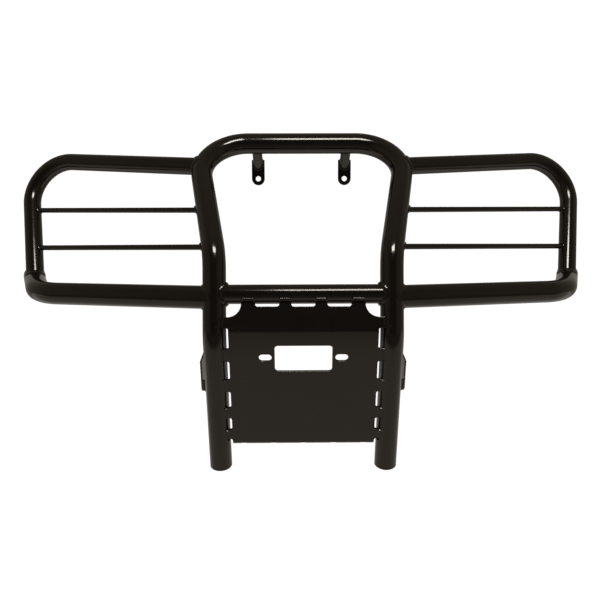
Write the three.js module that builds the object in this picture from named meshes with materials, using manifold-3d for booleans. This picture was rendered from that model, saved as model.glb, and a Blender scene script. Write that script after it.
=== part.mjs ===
// Front grille guard for a small utility vehicle: a bent tube hoop with two swept side wings, a notched
// steel plate for a winch fairlead between its legs, and the tabs and brackets that bolt it on.
// Millimetres. +X is to the right seen from the front, +Y runs back towards the vehicle, +Z is up.
// Everything is laid out from the knee bends of the two legs, where Y is 0. The finished guard is then
// moved so that its origin is the centre of the bottom of its bounding box.
import * as THREE from "three";
import { mergeVertices } from "three/addons/utils/BufferGeometryUtils.js";
import Module from "manifold-3d";

const wasm = await Module();
wasm.setup();

// Tube and bar stock: outside diameters, walls and sheet
const MAIN_OD = 38.1;
const MAIN_WALL = 2.4;
const BRANCH_OD = 31.75;
const BRANCH_WALL = 2.1;
const STAY_OD = 19.05;
const STAY_WALL = 2;
const ROD_OD = 9.525;
const PLATE_THICKNESS = 4.8;
const BRACKET_THICKNESS = 3;
const CLEARANCE = 0.4;

// How far cutting shapes run past what they cut, and what a fully rounded slot's radius is short of half
const OVERRUN = 20;
const CUT_DEPTH = 40;
const SLIVER = 0.01;

// Corners of the hoop centreline on the right, with the bend radius at each
const LEG_X = 144;
const LEG_FOOT = [LEG_X, 51.7, -298];
const LEG_KNEE = [LEG_X, 0, -66];
const HOOP_WAIST = [LEG_X, 16.6, 69];
const HOOP_CORNER = [199, 205, 272];
const KNEE_RADIUS = 90;
const WAIST_RADIUS = 77;
const CORNER_RADIUS = 80;

// Right wing: the lower tube sweeps out and turns back, and the upper tube comes down to land on it
const LOWER_WING_Z = 0;
const LOWER_WING_CORNER = [463.6, 88.3, LOWER_WING_Z];
const WING_LANDING = [504.2, 170.5, 14.6];
const LOWER_WING_RADIUS = 85;
const LOWER_WING_TAIL = 40;
const UPPER_WING_Z = 224.6;
const UPPER_WING_CORNER = [549, 280, 250.3];
const UPPER_WING_RADIUS = 70;
const UPPER_WING_REACH = 8;

// Heights of the rod ends, at the hoop and at the wing's outer upright
const RODS = [
  { name: "upper", hoopZ: 142.7, uprightZ: 148.6 },
  { name: "lower", hoopZ: 80.8, uprightZ: 76 },
];

const CROSS_TUBE_Z = 5;

// Plate: face distances are measured down the legs from the knee, flange heights up from the fold
const PLATE_MID_OFFSET = 11.6;
const PLATE_HALF_WIDTH = 137;
const FOLD_ABOVE_KNEE = 17.7;
const PLATE_BOTTOM = 189.6;
const FLANGE_LEAN = THREE.MathUtils.degToRad(15);
const FLANGE_REACH = 58;
const LIP_DEPTH = 20;
const FOLD_RADIUS = 7;
const NOTCH_INNER_X = 120.2;
const NOTCHES = [
  [-21.9, 12.7],
  [35.2, 67.6],
  [90.1, 119.3],
  [139.6, 161.3],
  [179.8, 240],
];
const NOTCH_CORNER = 3;
const WINDOW = { width: 93, height: 44.8, down: 30, corner: 5 };
const FAIRLEAD_SLOT = { width: 21, height: 11.5, down: 28.5 };
const FAIRLEAD_SPACING = 123.8;
const LIP_SLOT = { width: 9, height: 6.4, corner: 1.5, spacing: 51, count: 5 };
const FLANGE_SLOT = { width: 38.6, spacing: 58, bottom: 39.2, corner: 4, count: 3 };
const CORNER_RELIEF = { x: 121.5, up: 43.8, radius: 21.7 };

// Upper stays: a short tube behind the top bar and a flat bolt tab
const STAY_X = 85.5;
const TAB = { width: 25.4, top: 247, bottom: 197.3, frontY: 245.6, thickness: 4.8, hole: 10.3 };
const STAY_END_Z = 239.5;
const STAY_TRIM = 80;

// Lower brackets behind the legs: distances down the leg from the knee and back from its axis
const BRACKET = {
  down: 77,
  half: 29,
  outerX: 173,
  front: 9.5,
  back: 62,
  corner: 12,
  webTop: -3,
  chamfer: 9,
  hole: 10.5,
  holeBack: 47,
};

// Push-in end plugs
const PLUG = { spigot: 14, spigotGap: 0.7, lead: 1, rim: 2, bevel: 3, shoulder: 4, crownEdge: 4.5, crown: 5 };

const MAIN_SIDES = 20;
const BRANCH_SIDES = 18;
const ROD_SIDES = 10;
const BEND_STEP = THREE.MathUtils.degToRad(15);
const RIGHT = 1;
const LEFT = -1;
const SIDE_NAMES = { [RIGHT]: "right", [LEFT]: "left" };
const ACROSS = new THREE.Vector3(1, 0, 0);
const BACK = new THREE.Vector3(0, 1, 0);
const UP = new THREE.Vector3(0, 0, 1);

const paint = new THREE.MeshStandardMaterial({ color: 0x17130f, roughness: 0.28, metalness: 0.1 });
const plateFinish = new THREE.MeshStandardMaterial({ color: 0x1c1915, roughness: 0.4, metalness: 0.1 });
const plugPlastic = new THREE.MeshStandardMaterial({ color: 0x111111, roughness: 0.6, metalness: 0 });

const guard = new THREE.Group();

// A centreline of straight runs joined by arcs, sampled only where it turns
class BentPath extends THREE.Curve {
  constructor(corners, radii) {
    super();
    this.points = [];
    this.tangents = [];
    const heading = (i) => corners[i + 1].clone().sub(corners[i]).normalize();
    const last = corners.length - 1;
    this.addStation(corners[0], heading(0));
    for (let i = 1; i < last; i += 1) {
      this.addBend(corners[i], heading(i - 1), heading(i), radii[i - 1]);
    }
    this.addStation(corners[last], heading(last - 1));
  }

  addStation(point, tangent) {
    this.points.push(point.clone());
    this.tangents.push(tangent.clone());
  }

  addBend(corner, into, out, radius) {
    const turn = into.angleTo(out);
    const inward = out.clone().addScaledVector(into, -Math.cos(turn)).normalize();
    const start = corner.clone().addScaledVector(into, -radius * Math.tan(turn / 2));
    const centre = start.addScaledVector(inward, radius);
    const steps = Math.ceil(turn / BEND_STEP);
    for (let k = 0; k <= steps; k += 1) {
      const angle = (turn * k) / steps;
      const point = centre.clone();
      point.addScaledVector(inward, -radius * Math.cos(angle));
      point.addScaledVector(into, radius * Math.sin(angle));
      const tangent = into.clone().multiplyScalar(Math.cos(angle));
      tangent.addScaledVector(inward, Math.sin(angle));
      this.addStation(point, tangent);
    }
  }

  get steps() {
    return this.points.length - 1;
  }

  getUtoTmapping(u) {
    return u;
  }

  getPoint(t, target = new THREE.Vector3()) {
    return target.copy(this.points[Math.round(t * this.steps)]);
  }

  getTangent(t, target = new THREE.Vector3()) {
    return target.copy(this.tangents[Math.round(t * this.steps)]);
  }
}

function vector(point, side = RIGHT) {
  return new THREE.Vector3(side * point[0], point[1], point[2]);
}

// The point at height z on the straight line through two corners
function atHeight(lower, upper, z) {
  const part = (z - lower[2]) / (upper[2] - lower[2]);
  return vector(lower).lerp(vector(upper), part).toArray();
}

// The point a given distance beyond b, on the line from a to b
function beyond(a, b, distance) {
  const heading = vector(b).sub(vector(a)).normalize();
  return vector(b).addScaledVector(heading, distance).toArray();
}

function sweep(path, outsideDiameter, wall, sides) {
  const section = new THREE.Shape();
  section.absarc(0, 0, outsideDiameter / 2, 0, 2 * Math.PI);
  if (wall > 0) {
    const bore = new THREE.Path();
    bore.absarc(0, 0, outsideDiameter / 2 - wall, 0, 2 * Math.PI, true);
    section.holes.push(bore);
  }
  return new THREE.ExtrudeGeometry(section, {
    steps: path.steps,
    extrudePath: path,
    curveSegments: sides / 2,
  });
}

function toSolid(geometry) {
  const bare = geometry.clone();
  bare.deleteAttribute("normal");
  bare.deleteAttribute("uv");
  const merged = mergeVertices(bare, 1e-4);
  const vertProperties = new Float32Array(merged.attributes.position.array);
  const triVerts = new Uint32Array(merged.index.array);
  return new wasm.Manifold(new wasm.Mesh({ numProp: 3, vertProperties, triVerts }));
}

function toGeometry(solid) {
  const mesh = solid.getMesh();
  const geometry = new THREE.BufferGeometry();
  geometry.setAttribute("position", new THREE.BufferAttribute(mesh.vertProperties, 3));
  geometry.setIndex(new THREE.BufferAttribute(mesh.triVerts, 1));
  geometry.computeVertexNormals();
  return geometry;
}

function cut(geometry, cutters) {
  let solid = toSolid(geometry);
  for (const cutter of cutters) {
    solid = solid.subtract(toSolid(cutter));
  }
  return toGeometry(solid);
}

function join(first, second) {
  return toGeometry(toSolid(first).add(toSolid(second)));
}

function addPiece(name, geometry, material) {
  const piece = new THREE.Mesh(geometry, material);
  piece.name = name;
  guard.add(piece);
}

// A solid a little thicker than a tube, for trimming what is welded to it
function trimmer(path, outsideDiameter, sides) {
  return sweep(path, outsideDiameter + 2 * CLEARANCE, 0, sides);
}

function roundedRectangle(left, bottom, right, top, radius) {
  const shape = new THREE.Shape();
  shape.moveTo(left + radius, bottom);
  shape.lineTo(right - radius, bottom);
  shape.absarc(right - radius, bottom + radius, radius, -Math.PI / 2, 0);
  shape.lineTo(right, top - radius);
  shape.absarc(right - radius, top - radius, radius, 0, Math.PI / 2);
  shape.lineTo(left + radius, top);
  shape.absarc(left + radius, top - radius, radius, Math.PI / 2, Math.PI);
  shape.lineTo(left, bottom + radius);
  shape.absarc(left + radius, bottom + radius, radius, Math.PI, 1.5 * Math.PI);
  shape.closePath();
  return shape;
}

// Extrudes a flat outline along the third axis of a frame, from one distance to another
function slab(shape, frame, from, to, curveSegments = 4) {
  const geometry = new THREE.ExtrudeGeometry(shape, { depth: to - from, bevelEnabled: false, curveSegments });
  return geometry.translate(0, 0, from).applyMatrix4(frame);
}

function frameAt(origin, xAxis, yAxis) {
  const zAxis = xAxis.clone().cross(yAxis);
  return new THREE.Matrix4().makeBasis(xAxis, yAxis, zAxis).setPosition(origin);
}

// Hoop

function hoopPath() {
  const right = [LEG_FOOT, LEG_KNEE, HOOP_WAIST, HOOP_CORNER];
  const corners = [
    ...right.map((point) => vector(point, RIGHT)),
    ...right.map((point) => vector(point, LEFT)).reverse(),
  ];
  const radii = [KNEE_RADIUS, WAIST_RADIUS, CORNER_RADIUS, CORNER_RADIUS, WAIST_RADIUS, KNEE_RADIUS];
  return new BentPath(corners, radii);
}

const hoop = hoopPath();
const hoopTrim = trimmer(hoop, MAIN_OD, MAIN_SIDES);
addPiece("main_hoop", sweep(hoop, MAIN_OD, MAIN_WALL, MAIN_SIDES), paint);

// Cross tube between the legs

const crossEnd = atHeight(LEG_KNEE, HOOP_WAIST, CROSS_TUBE_Z);
const crossPath = new BentPath([vector(crossEnd, LEFT), vector(crossEnd, RIGHT)], []);
const crossTube = sweep(crossPath, BRANCH_OD, BRANCH_WALL, BRANCH_SIDES);
addPiece("cross_tube", cut(crossTube, [hoopTrim]), paint);

// Wings

const lowerWingStart = atHeight(LEG_KNEE, HOOP_WAIST, LOWER_WING_Z);
const lowerWingEnd = beyond(LOWER_WING_CORNER, WING_LANDING, LOWER_WING_TAIL);
const upperWingEdge = atHeight(HOOP_WAIST, HOOP_CORNER, UPPER_WING_Z);
const upperWingStart = beyond(UPPER_WING_CORNER, upperWingEdge, UPPER_WING_REACH);

function lowerWingPath(side) {
  const corners = [lowerWingStart, LOWER_WING_CORNER, lowerWingEnd].map((point) => vector(point, side));
  return new BentPath(corners, [LOWER_WING_RADIUS]);
}

function upperWingPath(side) {
  const corners = [upperWingStart, UPPER_WING_CORNER, WING_LANDING].map((point) => vector(point, side));
  return new BentPath(corners, [UPPER_WING_RADIUS]);
}

function rodPath(side, rod) {
  const inner = atHeight(HOOP_WAIST, HOOP_CORNER, rod.hoopZ);
  const outer = atHeight(WING_LANDING, UPPER_WING_CORNER, rod.uprightZ);
  return new BentPath([vector(inner, side), vector(outer, side)], []);
}

function addWing(side) {
  const name = SIDE_NAMES[side];
  const lower = lowerWingPath(side);
  const upper = upperWingPath(side);
  const lowerTrim = trimmer(lower, MAIN_OD, MAIN_SIDES);
  const upperTrim = trimmer(upper, BRANCH_OD, BRANCH_SIDES);
  const lowerTube = sweep(lower, MAIN_OD, MAIN_WALL, MAIN_SIDES);
  const upperTube = sweep(upper, BRANCH_OD, BRANCH_WALL, BRANCH_SIDES);
  addPiece(`lower_wing_tube_${name}`, cut(lowerTube, [hoopTrim]), paint);
  addPiece(`upper_wing_tube_${name}`, cut(upperTube, [hoopTrim, lowerTrim]), paint);
  for (const rod of RODS) {
    const bar = sweep(rodPath(side, rod), ROD_OD, 0, ROD_SIDES);
    addPiece(`grille_rod_${rod.name}_${name}`, cut(bar, [hoopTrim, upperTrim]), paint);
  }
}

addWing(LEFT);
addWing(RIGHT);

// Plate between the legs: a flange up to the cross tube, the face, and a lip folded back at the bottom

const upLeg = vector(LEG_KNEE).sub(vector(LEG_FOOT)).normalize();
const plateFront = ACROSS.clone().cross(upLeg);
const kneeCentre = new THREE.Vector3(0, LEG_KNEE[1], LEG_KNEE[2]);
const faceOrigin = kneeCentre.clone().addScaledVector(plateFront, PLATE_MID_OFFSET);
const faceFrame = frameAt(faceOrigin, ACROSS, upLeg);
const fold = faceOrigin.clone().addScaledVector(upLeg, FOLD_ABOVE_KNEE);
const flangeUp = new THREE.Vector3(0, Math.sin(FLANGE_LEAN), Math.cos(FLANGE_LEAN));
const flangeFrame = frameAt(fold, ACROSS, flangeUp);

// The bent sheet's section in the YZ plane, offset half a thickness to each side of its middle line
function plateSection() {
  const flangeTop = fold.clone().addScaledVector(flangeUp, FLANGE_REACH);
  const bottom = faceOrigin.clone().addScaledVector(upLeg, -PLATE_BOTTOM);
  const lipEnd = bottom.clone().addScaledVector(plateFront, -LIP_DEPTH);
  const middle = new BentPath([flangeTop, fold, bottom, lipEnd], [FOLD_RADIUS, FOLD_RADIUS]);
  const offset = (sign) => middle.points.map((point, i) => {
    const across = middle.tangents[i].clone().cross(ACROSS).multiplyScalar((sign * PLATE_THICKNESS) / 2);
    return new THREE.Vector2(point.y + across.y, point.z + across.z);
  });
  return new THREE.Shape([...offset(1), ...offset(-1).reverse()]);
}

function windowCutter() {
  const { width, height, down, corner } = WINDOW;
  const outline = roundedRectangle(-width / 2, -down - height / 2, width / 2, -down + height / 2, corner);
  return slab(outline, faceFrame, -CUT_DEPTH / 2, CUT_DEPTH / 2);
}

function fairleadCutter(side) {
  const { width, height, down } = FAIRLEAD_SLOT;
  const x = (side * FAIRLEAD_SPACING) / 2;
  const outline = roundedRectangle(
    x - width / 2, -down - height / 2, x + width / 2, -down + height / 2, height / 2 - SLIVER,
  );
  return slab(outline, faceFrame, -CUT_DEPTH / 2, CUT_DEPTH / 2, 6);
}

function notchCutters(side) {
  return NOTCHES.map(([start, end]) => {
    const edges = [side * NOTCH_INNER_X, side * (PLATE_HALF_WIDTH + OVERRUN)].sort((a, b) => a - b);
    const outline = roundedRectangle(edges[0], -end, edges[1], -start, NOTCH_CORNER);
    return slab(outline, faceFrame, -CUT_DEPTH, CUT_DEPTH, 3);
  });
}

// Small slots through the middle of the lip's bend, cut outwards from the bend's centre
function lipSlotCutters() {
  const { width, height, corner, spacing, count } = LIP_SLOT;
  const centre = faceOrigin.clone().addScaledVector(upLeg, FOLD_RADIUS - PLATE_BOTTOM);
  centre.addScaledVector(plateFront, -FOLD_RADIUS);
  const roundBend = upLeg.clone().add(plateFront).normalize();
  const bendFrame = frameAt(centre, ACROSS, roundBend);
  return Array.from({ length: count }, (_, i) => {
    const x = (i - (count - 1) / 2) * spacing;
    const outline = roundedRectangle(x - width / 2, -height / 2, x + width / 2, height / 2, corner);
    return slab(outline, bendFrame, 0, FOLD_RADIUS + PLATE_THICKNESS, 2);
  });
}

function flangeCutters() {
  const { width, spacing, bottom, corner, count } = FLANGE_SLOT;
  const slots = Array.from({ length: count }, (_, i) => {
    const x = (i - (count - 1) / 2) * spacing;
    const top = FLANGE_REACH + OVERRUN;
    const outline = roundedRectangle(x - width / 2, bottom, x + width / 2, top, corner);
    return slab(outline, flangeFrame, -CUT_DEPTH / 2, CUT_DEPTH / 2, 3);
  });
  return [...slots, cornerReliefCutter(LEFT), cornerReliefCutter(RIGHT)];
}

// A quarter-round opening where the flange would meet both the leg and the cross tube
function cornerReliefCutter(side) {
  const { x, up, radius } = CORNER_RELIEF;
  const top = FLANGE_REACH + OVERRUN;
  const outer = PLATE_HALF_WIDTH + OVERRUN;
  const outline = new THREE.Shape();
  outline.moveTo(x - radius, top);
  outline.absarc(x, up, radius, Math.PI, 1.5 * Math.PI);
  outline.lineTo(outer, up - radius);
  outline.lineTo(outer, top);
  outline.closePath();
  const cutter = slab(outline, new THREE.Matrix4(), -CUT_DEPTH / 2, CUT_DEPTH / 2, 8);
  if (side === LEFT) {
    cutter.rotateY(Math.PI);
  }
  return cutter.applyMatrix4(flangeFrame);
}

function addPlate() {
  const sectionFrame = frameAt(new THREE.Vector3(), BACK, UP);
  const sheet = slab(plateSection(), sectionFrame, -PLATE_HALF_WIDTH, PLATE_HALF_WIDTH);
  const cutters = [
    windowCutter(),
    fairleadCutter(LEFT),
    fairleadCutter(RIGHT),
    ...notchCutters(LEFT),
    ...notchCutters(RIGHT),
    ...lipSlotCutters(),
    ...flangeCutters(),
    trimmer(crossPath, BRANCH_OD, BRANCH_SIDES),
    hoopTrim,
  ];
  addPiece("winch_plate", cut(sheet, cutters), plateFinish);
}

addPlate();

// Upper stays and their bolt tabs

function tabShape(x) {
  const radius = TAB.width / 2;
  const shape = new THREE.Shape();
  shape.moveTo(x + radius, TAB.top);
  shape.lineTo(x - radius, TAB.top);
  shape.absarc(x, TAB.bottom + radius, radius, Math.PI, 2 * Math.PI);
  shape.closePath();
  const hole = new THREE.Path();
  hole.absarc(x, TAB.bottom + radius, TAB.hole / 2, 0, 2 * Math.PI, true);
  shape.holes.push(hole);
  return shape;
}

function addStay(side) {
  const name = SIDE_NAMES[side];
  const x = side * STAY_X;
  const upright = frameAt(new THREE.Vector3(), ACROSS, UP);
  const tabBack = TAB.frontY + TAB.thickness;
  addPiece(`stay_tab_${name}`, slab(tabShape(x), upright, -tabBack, -TAB.frontY, 8), paint);

  const barAxis = [x, HOOP_CORNER[1], HOOP_CORNER[2]];
  const landing = [x, TAB.frontY, STAY_END_Z];
  const end = beyond(barAxis, landing, STAY_OD);
  const path = new BentPath([vector(barAxis), vector(end)], []);
  const behindTab = new THREE.BoxGeometry(STAY_TRIM, STAY_TRIM, STAY_TRIM);
  behindTab.translate(x, TAB.frontY - CLEARANCE + STAY_TRIM / 2, STAY_END_Z);
  const tube = sweep(path, STAY_OD, STAY_WALL, BRANCH_SIDES);
  addPiece(`stay_tube_${name}`, cut(tube, [hoopTrim, behindTab]), paint);
}

addStay(LEFT);
addStay(RIGHT);

// Lower brackets: an ear alongside the frame rail, with a web that is welded behind the leg

function earShape() {
  const { half, front, back, corner, chamfer, hole, holeBack } = BRACKET;
  const shape = new THREE.Shape();
  shape.moveTo(front, chamfer - half);
  shape.lineTo(front + chamfer, -half);
  shape.lineTo(back - corner, -half);
  shape.absarc(back - corner, corner - half, corner, -Math.PI / 2, 0);
  shape.lineTo(back, half - corner);
  shape.absarc(back - corner, half - corner, corner, 0, Math.PI / 2);
  shape.lineTo(front, half);
  shape.closePath();
  const bolt = new THREE.Path();
  bolt.absarc(holeBack, 0, hole / 2, 0, 2 * Math.PI, true);
  shape.holes.push(bolt);
  return shape;
}

function addBracket(side) {
  const { down, half, outerX, front, webTop, chamfer } = BRACKET;
  const origin = kneeCentre.clone().addScaledVector(upLeg, -down);
  const backwards = plateFront.clone().negate();
  const innerX = outerX - BRACKET_THICKNESS;
  const earFrame = frameAt(origin, backwards, upLeg);
  const earSpan = [side * innerX, side * outerX].sort((a, b) => a - b);
  const ear = slab(earShape(), earFrame, earSpan[0], earSpan[1], 8);

  const web = new THREE.Shape();
  web.moveTo(side * LEG_X, webTop);
  web.lineTo(side * outerX, webTop);
  web.lineTo(side * outerX, chamfer - half);
  web.lineTo(side * (outerX - chamfer), -half);
  web.lineTo(side * LEG_X, -half);
  web.closePath();
  const webFrame = frameAt(origin, ACROSS, upLeg);
  const webPlate = slab(web, webFrame, -front - BRACKET_THICKNESS, -front);
  const bracket = cut(join(ear, webPlate), [hoopTrim]);
  addPiece(`leg_bracket_${SIDE_NAMES[side]}`, bracket, paint);
}

addBracket(LEFT);
addBracket(RIGHT);

// End plugs in the open ends of the legs and of the lower wing tubes

function plugGeometry() {
  const bore = MAIN_OD / 2 - MAIN_WALL - PLUG.spigotGap;
  const outer = MAIN_OD / 2;
  const profile = [
    new THREE.Vector2(0, -PLUG.spigot),
    new THREE.Vector2(bore - PLUG.lead, -PLUG.spigot),
    new THREE.Vector2(bore, PLUG.lead - PLUG.spigot),
    new THREE.Vector2(bore, CLEARANCE),
    new THREE.Vector2(outer, CLEARANCE),
    new THREE.Vector2(outer, PLUG.rim),
    new THREE.Vector2(outer - PLUG.bevel, PLUG.shoulder),
    new THREE.Vector2(outer / 2, PLUG.crownEdge),
    new THREE.Vector2(0, PLUG.crown),
  ];
  return new THREE.LatheGeometry(profile, MAIN_SIDES);
}

function addPlug(name, end, before, side) {
  const outward = vector(end, side).sub(vector(before, side)).normalize();
  const turn = new THREE.Quaternion().setFromUnitVectors(BACK, outward);
  const plug = plugGeometry().applyQuaternion(turn).translate(...vector(end, side).toArray());
  addPiece(name, plug, plugPlastic);
}

for (const side of [LEFT, RIGHT]) {
  addPlug(`leg_plug_${SIDE_NAMES[side]}`, LEG_FOOT, LEG_KNEE, side);
  addPlug(`wing_plug_${SIDE_NAMES[side]}`, lowerWingEnd, LOWER_WING_CORNER, side);
}

// The origin goes to the centre of the bottom of the bounding box

function settle(group) {
  const box = new THREE.Box3().setFromObject(group, true);
  group.position.set(0, -(box.min.y + box.max.y) / 2, -box.min.z);
  group.updateMatrixWorld(true);
}

settle(guard);

export default guard;
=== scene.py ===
import math

import bmesh
import bpy
from mathutils import Matrix, Vector
from mathutils.bvhtree import BVHTree


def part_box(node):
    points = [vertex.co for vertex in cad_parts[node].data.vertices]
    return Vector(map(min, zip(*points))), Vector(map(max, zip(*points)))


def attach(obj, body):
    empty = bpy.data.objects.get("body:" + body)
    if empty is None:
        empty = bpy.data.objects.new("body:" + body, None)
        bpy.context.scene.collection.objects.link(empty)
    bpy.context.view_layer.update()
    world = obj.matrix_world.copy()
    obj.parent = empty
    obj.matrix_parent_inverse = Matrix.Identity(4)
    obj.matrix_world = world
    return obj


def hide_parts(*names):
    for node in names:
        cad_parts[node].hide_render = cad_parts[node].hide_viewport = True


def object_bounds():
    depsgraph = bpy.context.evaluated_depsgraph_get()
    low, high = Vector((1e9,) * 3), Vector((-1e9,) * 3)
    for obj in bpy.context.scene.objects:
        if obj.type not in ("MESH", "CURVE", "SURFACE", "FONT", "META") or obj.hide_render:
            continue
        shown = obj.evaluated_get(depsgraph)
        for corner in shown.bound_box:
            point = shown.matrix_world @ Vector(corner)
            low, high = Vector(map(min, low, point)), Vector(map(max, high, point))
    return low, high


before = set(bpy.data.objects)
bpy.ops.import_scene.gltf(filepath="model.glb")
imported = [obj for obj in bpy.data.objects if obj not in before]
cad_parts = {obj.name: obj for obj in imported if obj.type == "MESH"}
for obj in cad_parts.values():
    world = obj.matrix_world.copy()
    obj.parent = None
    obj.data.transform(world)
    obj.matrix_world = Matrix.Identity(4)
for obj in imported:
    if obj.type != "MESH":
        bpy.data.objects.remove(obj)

cad_low, cad_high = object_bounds()

# Lengths are in millimetres from the knees of the two legs, as the guard is laid out, until spot() places
# them in metres.
MM = 0.001
RIGHT, LEFT = 1, -1
SIDES = {"right": RIGHT, "left": LEFT}

# Tube and bar stock: outside diameters and walls
MAIN_TUBE, MAIN_WALL = 38.1, 2.4
BRANCH_TUBE, BRANCH_WALL = 31.75, 2.1
STAY_TUBE, STAY_WALL = 19.05, 2.0
ROD = 9.525
TUBE_FACES = 72
ROD_FACES = 32
BEND_STEP = math.radians(3)

# Right half of the hoop: corners of its middle line, and the bend radius at each
LEG_FOOT = (144, 51.7, -298)
LEG_KNEE = (144, 0, -66)
HOOP_WAIST = (144, 16.6, 69)
HOOP_CORNER = (199, 205, 272)
HOOP_BENDS = (90, 77, 80)
CROSS_HEIGHT = 5

# Right wing: the lower tube sweeps out and turns back, and the upper tube comes down to land on it
LOWER_WING_HEIGHT = 0
LOWER_WING_CORNER = (463.6, 88.3, 0)
LOWER_WING_BEND = 85
LOWER_WING_TAIL = 40
UPPER_WING_HEIGHT = 224.6
UPPER_WING_CORNER = (549, 280, 250.3)
UPPER_WING_BEND = 70
UPPER_WING_REACH = 8
WING_LANDING = (504.2, 170.5, 14.6)
ROD_HEIGHTS = {"upper": (142.7, 148.6), "lower": (80.8, 76)}

# Plate: heights on its face are from the knee, up or down the leg, and the flange's from the fold
PLATE_THICK = 4.8
PLATE_AHEAD = 11.6
PLATE_EDGE = 131
COMB_DEPTH_X = 120.2
COMB = ((-21.9, 12.7), (35.2, 67.6), (90.1, 119.3), (139.6, 161.3))
COMB_LAST = 179.8
COMB_CORNER = 3
FOLD_UP = 17.7
PLATE_DOWN = 189.6
FOLD_RADIUS = 7
LIP_BACK = 20
FLANGE_LEAN = math.radians(15)
FLANGE_TOP = 50.5
FLANGE_SLOT_BOTTOM = 39.2
FLANGE_SLOT_HALF = 19.3
FLANGE_SLOT_PITCH = 58
FLANGE_SLOT_CORNER = 4
RELIEF_X, RELIEF_UP, RELIEF_RADIUS = 99.8, 22.1, 21.7
WINDOW_HALF = (46.5, 22.4)
WINDOW_DOWN, WINDOW_CORNER = 30, 5
SLOT_HALF = (10.5, 5.75)
SLOT_X, SLOT_DOWN = 61.9, 28.5
LIP_SLOTS = 5
LIP_SLOT_PITCH = 51
LIP_SLOT_HALF = (4.5, 3.2)
LIP_SLOT_CORNER = 1.5

# Stays behind the top bar, each a short tube and a flat bolt tab
STAY_X = 85.5
TAB_FRONT, TAB_THICK = 245.6, 4.8
TAB_TOP, TAB_BOTTOM, TAB_HALF = 247, 197.3, 12.7
TAB_HOLE, TAB_CORNER = 10.3, 2
STAY_END_Z = 239.5
STAY_TRIM = 80

# Brackets behind the legs: distances down the leg from the knee, and back from the leg's middle
BRACKET_THICK = 3
BRACKET_DOWN, BRACKET_HALF = 77, 29
BRACKET_OUTER, BRACKET_FRONT, BRACKET_BACK = 173, 9.5, 62
BRACKET_CORNER, BRACKET_CHAMFER, BRACKET_WEB_TOP = 12, 9, -3
BRACKET_HOLE, BRACKET_HOLE_BACK = 10.5, 47
BRACKET_FOLD, BRACKET_WEB_INNER = 4, 156
BRACKET_NOTCH_CORNER, BRACKET_CHAMFER_CORNER = 2, 1

# End plugs: the edge is a run of (inset from the rim, height over the tube's end)
PLUG_SPIGOT, PLUG_LEAD, PLUG_GAP = 14, 1, 0.7
PLUG_SEAT = 0.4
PLUG_EDGE = ((0.3, 0.4), (0, 0.8), (0, 2), (0.7, 3), (2.4, 3.7), (6, 4.3))
PLUG_SHOULDER, PLUG_CROWN = 4.7, 5
PLUG_FACES = 64

# Points this close are one, and planes this close are level
MERGED = 0.001
LEVEL = 0.0001

# Softened edges of the sheets, the cuts beside a fold, and what a fully rounded end's radius is short of half
SHEET_EDGE, SHEET_EDGE_STEPS = 0.7, 3
CORNER_STEPS, HOLE_FACES = 8, 40
FOLD_EDGE, FOLD_STEPS = 0.8, 8
SLIVER = 0.01
CUT_EDGE = math.radians(60)

# Edges that turn more than this stay crisp when a piece is smoothed
SHARP = math.radians(32)
SHEET_SHARP = math.radians(12)


# Placing

cross_low, cross_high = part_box("cross_tube")


def between(lower, upper, height):
    """The point at a height on the straight line through two corners."""
    share = (height - lower[2]) / (upper[2] - lower[2])
    return tuple(Vector(lower).lerp(Vector(upper), share))


cross_axis = Vector((0, between(LEG_KNEE, HOOP_WAIST, CROSS_HEIGHT)[1], CROSS_HEIGHT))
HOME = (cross_low + cross_high) / 2 - cross_axis * MM


def spot(point, side=RIGHT):
    """A laid-out point, in metres in the guard's own frame."""
    return Vector((side * point[0], point[1], point[2])) * MM + HOME


def past(start, end, distance):
    """The point a distance beyond the end of a line."""
    line = Vector(end) - Vector(start)
    return tuple(Vector(end) + line.normalized() * distance)


# Shader nodes

# The Mix node's colour sockets
MIX_SHARE, MIX_FIRST, MIX_SECOND = 0, 6, 7
MIX_COLOUR = 2


class Flow:
    """An output in a material's nodes. Arithmetic on it adds Math nodes."""

    def __init__(self, tree, socket=None):
        self.tree = tree
        self.socket = socket

    def node(self, kind, settings=None, inputs=None, output=0):
        made = self.tree.nodes.new(kind)
        for name, value in (settings or {}).items():
            setattr(made, name, value)
        for name, value in (inputs or {}).items():
            if isinstance(value, Flow):
                self.tree.links.new(value.socket, made.inputs[name])
            else:
                made.inputs[name].default_value = value
        return Flow(self.tree, made.outputs[output])

    def math(self, operation, *values):
        return self.node("ShaderNodeMath", {"operation": operation}, dict(enumerate(values)))

    def __add__(self, other):
        return self.math("ADD", self, other)

    def __mul__(self, other):
        return self.math("MULTIPLY", self, other)

    def __abs__(self):
        return self.math("ABSOLUTE", self)

    __radd__ = __add__
    __rmul__ = __mul__

    def into(self, socket):
        self.tree.links.new(self.socket, socket)


def noise(flow, place, scale, detail, rough):
    """Even noise from 0 to 1; scale is in lumps to the metre."""
    return flow.node(
        "ShaderNodeTexNoise", {"noise_dimensions": "3D"},
        {"Vector": place, "Scale": scale, "Detail": detail, "Roughness": rough},
    )


def above(flow, value, low, high):
    """0 below low, 1 above high, and smooth between."""
    return flow.node(
        "ShaderNodeMapRange", {"interpolation_type": "SMOOTHSTEP"},
        {"Value": value, "From Min": low, "From Max": high, "To Min": 0, "To Max": 1},
    )


def blend(flow, share, first, second):
    """The first colour where share is 0, and the second where it is 1."""
    inputs = {MIX_SHARE: share, MIX_FIRST: first, MIX_SECOND: second}
    return flow.node("ShaderNodeMix", {"data_type": "RGBA"}, inputs, MIX_COLOUR)


def bump(flow, height, strength, distance):
    inputs = {"Height": height, "Strength": strength, "Distance": distance}
    return flow.node("ShaderNodeBump", {}, inputs, "Normal")


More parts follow.
